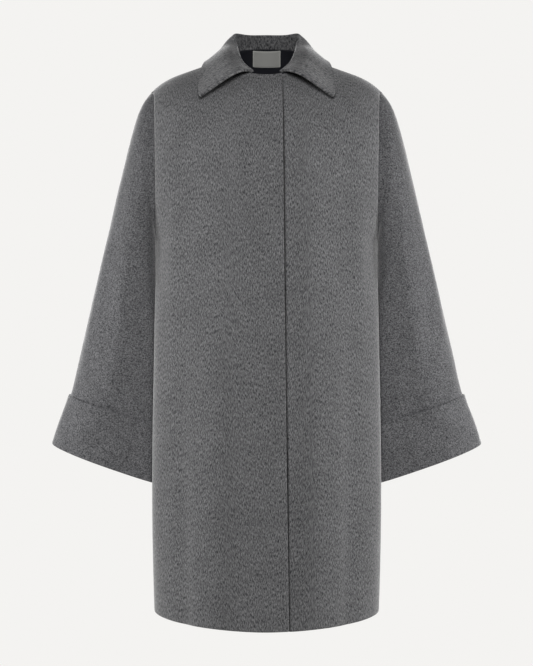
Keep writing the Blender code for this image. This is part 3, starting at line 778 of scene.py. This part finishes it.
def makeLabel():
    def place(across, down):
        x = (across - 0.5) * label["width"]
        z = body["neckBackRise"] - label["drop"] - label["height"] * down
        z = min(z, topEdge(abs(x), back)[1])
        return Vector((x, panelDepth(x, z, back), z))

    bm, grid, spots = clothSheet(label["columns"], label["rows"], place, zeroColumn=label["columns"] // 2)
    depth = body["cloth"] + body["seamGap"] + lining["cloth"] + label["cloth"]

    def lift(vert, across, down, toEnd, toEdge):  # sewn down along all four edges
        inside = min(label["width"] / 2 - abs(across), down, toEdge)
        standOff = label["standOff"] * blend(label["sewnStandOff"], 1.0, ease(inside / label["sewnIn"]))
        return depth + standOff - backLift(vert, across, down)

    liftCloth(bm, spots, lift)
    selvedge = bm.verts.layers.float["paintedShadeAndSelvedge"]
    for vert in bm.verts:
        vert[selvedge] = float(vert.is_boundary)
    finishCloth(bm, spots, "neck_label", label["cloth"])


for side in (-1, 1):
    makeFront(side)
    makeSleeve(side)
    makeCuff(side)
makeBack()
makeCollar()
makeLining()
makeLabel()


# Materials: one call adds a node, sets its inputs or settings by name or number, and links its inputs
# stops are the places and colours of a colour ramp, the two ends first
def addNode(tree, kind, settings=None, links=None, stops=()):
    node = tree.nodes.new("ShaderNode" + kind)
    for key, value in (settings or {}).items():
        if isinstance(key, int) or key in node.inputs:
            node.inputs[key].default_value = value
        else:
            setattr(node, key, value)
    for key, socket in (links or {}).items():
        tree.links.new(socket, node.inputs[key])
    for i, (position, shade) in enumerate(stops):
        stop = node.color_ramp.elements[i] if i < 2 else node.color_ramp.elements.new(position)
        stop.position = position
        stop.color = shade
    return node


def colour(hexValue):  # sRGB hex to linear
    channels = [int(hexValue[i:i + 2], 16) / 255 for i in (1, 3, 5)]
    return tuple(c / 12.92 if c <= 0.04045 else ((c + 0.055) / 1.055) ** 2.4 for c in channels) + (1.0,)


def newMaterial(name):
    material = bpy.data.materials.new(name)
    material.use_nodes = True
    material.node_tree.nodes.clear()
    return material, material.node_tree


# Cashmere coating, woven of dark and light grey fibres, milled and brushed: a matt felted face with
# short fibres lying down the cloth, mottled light on dark, and a soft pale bloom where it turns away
cashmere = {
    "dark": "#2e2e31", "light": "#7e7e7f", "sleeveLight": "#808082", "darkAt": 0.30, "lightAt": 0.70,
    "fibreWide": 0.0014, "fibreLong": 0.0048,  # single hairs are far finer, so tufts are drawn
    "sleeveTuft": (0.0022, 0.0022, 0.0024),  # on sleeves and cuffs, cut across the grain, tufts look rounder
    "tuftDetail": 2.0, "tuftRoughness": 0.6, "tuftBend": 0.4,
    "cloudSize": 0.045, "cloudDetail": 2.0, "cloudStops": ((0.35, 0.94), (0.65, 1.04)),
    # painted shade tints: the lighter one for the collar stand, shoulder roll and sleeve head, the darker one
    # for the painted shadow along the front edge
    "paintedShadeTint": "#cfcfcf", "paintedShadeAt": 0.5, "paintedShadowTint": "#5a5a5a",
    "napHeight": 0.0008, "napStrength": 0.6, "roughness": 0.92, "ior": 1.5, "specular": 0.25,
    "sheen": 0.50, "sheenRoughness": 0.35,
}


def makeCashmere(name, forSleeves):
    material, tree = newMaterial(name)
    uv = addNode(tree, "UVMap", {"uv_map": "cloth"}).outputs["UV"]
    if forSleeves:
        place = addNode(tree, "TexCoord").outputs["Object"]
        tuftScale = tuple(1 / size for size in cashmere["sleeveTuft"])
    else:
        place = uv
        tuftScale = (1 / cashmere["fibreWide"], 1 / cashmere["fibreLong"], 1)
    lay = addNode(tree, "Mapping", {"Scale": tuftScale}, {"Vector": place})
    tufts = addNode(tree, "TexNoise", {
        "noise_dimensions": "3D" if forSleeves else "2D", "Scale": 1.0, "Detail": cashmere["tuftDetail"],
        "Roughness": cashmere["tuftRoughness"], "Distortion": cashmere["tuftBend"],
    }, {"Vector": lay.outputs[0]})
    light = colour(cashmere["sleeveLight"] if forSleeves else cashmere["light"])
    fibres = addNode(tree, "ValToRGB", links={"Fac": tufts.outputs[0]}, stops=[
        (cashmere["darkAt"], colour(cashmere["dark"])), (cashmere["lightAt"], light)])
    slow = addNode(tree, "TexNoise", {
        "noise_dimensions": "2D", "Scale": 1 / cashmere["cloudSize"], "Detail": cashmere["cloudDetail"],
    }, {"Vector": uv})
    clouds = addNode(tree, "ValToRGB", links={"Fac": slow.outputs[0]}, stops=[
        (position, (shade, shade, shade, 1)) for position, shade in cashmere["cloudStops"]])
    mottled = addNode(tree, "Mix", {"data_type": "RGBA", "blend_type": "MULTIPLY", 0: 1.0},
                      {6: fibres.outputs[0], 7: clouds.outputs[0]})
    # painted shade: darker inside the collar stand, on the collar's shoulder roll and over the sleeve head,
    # and a darker painted shadow along the front edge under the lap
    paintedShadeMark = addNode(tree, "Attribute", {"attribute_name": "paintedShadeAndSelvedge"})
    darker = addNode(tree, "ValToRGB", links={"Fac": paintedShadeMark.outputs["Fac"]}, stops=[
        (0.0, (1, 1, 1, 1)), (1.0, colour(cashmere["paintedShadowTint"])),
        (cashmere["paintedShadeAt"], colour(cashmere["paintedShadeTint"]))])
    mixed = addNode(tree, "Mix", {"data_type": "RGBA", "blend_type": "MULTIPLY", 0: 1.0},
                    {6: mottled.outputs[2], 7: darker.outputs[0]})
    nap = addNode(tree, "Bump", {"Strength": cashmere["napStrength"], "Distance": cashmere["napHeight"]},
                  {"Height": tufts.outputs[0]})
    shader = addNode(tree, "BsdfPrincipled", {
        "Roughness": cashmere["roughness"], "IOR": cashmere["ior"],
        "Specular IOR Level": cashmere["specular"],
        "Sheen Weight": cashmere["sheen"], "Sheen Roughness": cashmere["sheenRoughness"],
    }, {"Base Color": mixed.outputs[2], "Normal": nap.outputs[0]})
    addNode(tree, "OutputMaterial", links={"Surface": shader.outputs[0]})
    return material


waveBand = 0.314  # a wave texture of scale 1 repeats at this distance

# Black satin lining: long floats down the cloth give a soft stretched gloss over a deep black
satin = {
    "dark": "#101116", "light": "#1c1d23",
    "thread": 0.0011, "threadRun": 0.1, "waver": 2.0, "threadDetail": 2.0,
    "relief": 0.0001, "reliefStrength": 0.4, "roughness": 0.40, "ior": 1.5, "anisotropy": 0.4,
}


def makeSatin():
    material, tree = newMaterial("black satin lining")
    uv = addNode(tree, "UVMap", {"uv_map": "cloth"}).outputs["UV"]
    # threads are a tenth of a millimetre apart, drawn about ten times coarser so that they show
    spread = waveBand / satin["thread"]
    run = addNode(tree, "Mapping", {"Scale": (spread, spread * satin["threadRun"], 1)}, {"Vector": uv})
    threads = addNode(tree, "TexWave", {
        "Scale": 1.0, "Distortion": satin["waver"], "Detail": satin["threadDetail"],
    }, {"Vector": run.outputs[0]})
    shades = addNode(tree, "ValToRGB", links={"Fac": threads.outputs[1]}, stops=[
        (0.0, colour(satin["dark"])), (1.0, colour(satin["light"]))])
    relief = addNode(tree, "Bump", {"Strength": satin["reliefStrength"], "Distance": satin["relief"]},
                     {"Height": threads.outputs[1]})
    shader = addNode(tree, "BsdfPrincipled", {
        "Roughness": satin["roughness"], "IOR": satin["ior"], "Anisotropic": satin["anisotropy"],
    }, {"Base Color": shades.outputs[0], "Normal": relief.outputs[0]})
    addNode(tree, "OutputMaterial", links={"Surface": shader.outputs[0]})
    return material


# Woven polyester label: a fine ribbed ground in pale grey, with a closer, lighter selvedge all round
ribbon = {
    "ground": "#858582", "groundLight": "#939390", "selvedge": "#a0a09c", "selvedgeWidth": 0.0014,
    "rib": 0.0012, "ribRun": 0.15, "waver": 0.6, "relief": 0.0002, "reliefStrength": 0.5,
    "roughness": 0.62, "ior": 1.5, "sheen": 0.1,
}


def makeRibbon():
    material, tree = newMaterial("grey woven polyester label")
    uv = addNode(tree, "UVMap", {"uv_map": "cloth"}).outputs["UV"]
    # ribs are 0.3 mm apart, drawn four times coarser so that they show
    spread = waveBand / ribbon["rib"]
    run = addNode(tree, "Mapping", {"Scale": (spread * ribbon["ribRun"], spread, 1)}, {"Vector": uv})
    ribs = addNode(tree, "TexWave", {"bands_direction": "Y", "Scale": 1.0, "Distortion": ribbon["waver"]},
                   {"Vector": run.outputs[0]})
    ground = addNode(tree, "ValToRGB", links={"Fac": ribs.outputs[1]}, stops=[
        (0.0, colour(ribbon["ground"])), (1.0, colour(ribbon["groundLight"]))])
    # the mark falls from 1 at the edge to 0 at the first row of the grid inside it
    mark = addNode(tree, "Attribute", {"attribute_name": "paintedShadeAndSelvedge"})
    innerEdge = 1 - ribbon["selvedgeWidth"] * label["columns"] / label["width"]
    atEdge = addNode(tree, "Math", {"operation": "GREATER_THAN", 1: innerEdge}, {0: mark.outputs["Fac"]})
    edged = addNode(tree, "Mix", {"data_type": "RGBA", 7: colour(ribbon["selvedge"])},
                    {0: atEdge.outputs[0], 6: ground.outputs[0]})
    relief = addNode(tree, "Bump", {"Strength": ribbon["reliefStrength"], "Distance": ribbon["relief"]},
                     {"Height": ribs.outputs[1]})
    shader = addNode(tree, "BsdfPrincipled", {
        "Roughness": ribbon["roughness"], "IOR": ribbon["ior"], "Sheen Weight": ribbon["sheen"],
    }, {"Base Color": edged.outputs[2], "Normal": relief.outputs[0]})
    addNode(tree, "OutputMaterial", links={"Surface": shader.outputs[0]})
    return material


coating = makeCashmere("grey melange cashmere coating", False)
sleeveCoating = makeCashmere("grey melange cashmere coating across the grain", True)
finishes = {  # material and slot of each piece
    "front_right": (coating, "cashmere_cloth"), "front_left": (coating, "cashmere_cloth"),
    "back": (coating, "cashmere_cloth"), "collar": (coating, "cashmere_cloth"),
    "sleeve_right": (sleeveCoating, "cashmere_cloth"), "sleeve_left": (sleeveCoating, "cashmere_cloth"),
    "cuff_right": (sleeveCoating, "cashmere_cloth"), "cuff_left": (sleeveCoating, "cashmere_cloth"),
    "back_neck_lining": (makeSatin(), "lining_cloth"), "neck_label": (makeRibbon(), "label_cloth"),
}
for name, (material, slot) in finishes.items():
    pieces[name].data.materials.append(material)
print("materials made")

# Studio: camera straight on, pale surround, softboxes round the coat and a pale floor below
studio = {
    "cameraPlace": (-0.0003, -2.2, -0.4806), "lens": 67.95, "surround": "#f4f3f1", "ambient": 0.04,
    "softboxes": {  # place, size and watts
        "front softbox": ((0.0, -1.80, 0.12), (0.5, 0.5), 25.6),
        "left softbox": ((1.75, -0.05, -0.30), (0.6, 0.9), 22.0),
        "right softbox": ((-1.75, -0.05, -0.30), (0.6, 0.9), 22.0),
        "left back softbox": ((1.15, 1.75, 0.20), (0.8, 1.0), 14.0),
        "right back softbox": ((-1.15, 1.75, 0.20), (0.8, 1.0), 14.0),
    },
    "aim": (0.0, 0.0, -0.45),
    "floor": "#eeedea", "floorRoughness": 0.8, "floorZ": -1.45, "floorRadius": 1.25, "floorSegments": 96,
}
camera = bpy.data.objects.new("camera", bpy.data.cameras.new("camera"))
camera.location = studio["cameraPlace"]
camera.rotation_euler = (math.pi / 2, 0, 0)
camera.data.lens = studio["lens"]
bpy.context.scene.collection.objects.link(camera)
bpy.context.scene.camera = camera

world = bpy.data.worlds.new("pale surround")
world.use_nodes = True
surround = world.node_tree.nodes["Background"]
surround.inputs["Color"].default_value = colour(studio["surround"])
ray = addNode(world.node_tree, "LightPath")
level = addNode(world.node_tree, "MapRange", {"To Min": studio["ambient"], "To Max": 1.0},
                {"Value": ray.outputs["Is Camera Ray"]})
world.node_tree.links.new(level.outputs[0], surround.inputs["Strength"])
bpy.context.scene.world = world
for name, (place, size, watts) in studio["softboxes"].items():
    softbox = bpy.data.lights.new(name, "AREA")
    softbox.shape = "RECTANGLE"
    softbox.size, softbox.size_y = size
    softbox.energy = watts
    lamp = bpy.data.objects.new(name, softbox)
    lamp.location = place
    lamp.rotation_euler = (Vector(studio["aim"]) - Vector(place)).to_track_quat("-Z", "Y").to_euler()
    bpy.context.scene.collection.objects.link(lamp)

bm = bmesh.new()
bmesh.ops.create_circle(bm, cap_ends=True, segments=studio["floorSegments"],
                         radius=studio["floorRadius"])
bmesh.ops.translate(bm, verts=bm.verts, vec=(0, 0, studio["floorZ"]))
floorMesh = bpy.data.meshes.new("studio floor")
bm.to_mesh(floorMesh)
bm.free()
floor = bpy.data.objects.new("studio_floor", floorMesh)
bpy.context.scene.collection.objects.link(floor)
floorPaint, tree = newMaterial("matt white floor paint")
shader = addNode(tree, "BsdfPrincipled", {"Base Color": colour(studio["floor"]),
                                          "Roughness": studio["floorRoughness"]})
addNode(tree, "OutputMaterial", links={"Surface": shader.outputs[0]})
floorMesh.materials.append(floorPaint)
bpy.context.scene.view_settings.view_transform = "Standard"
print("studio set")
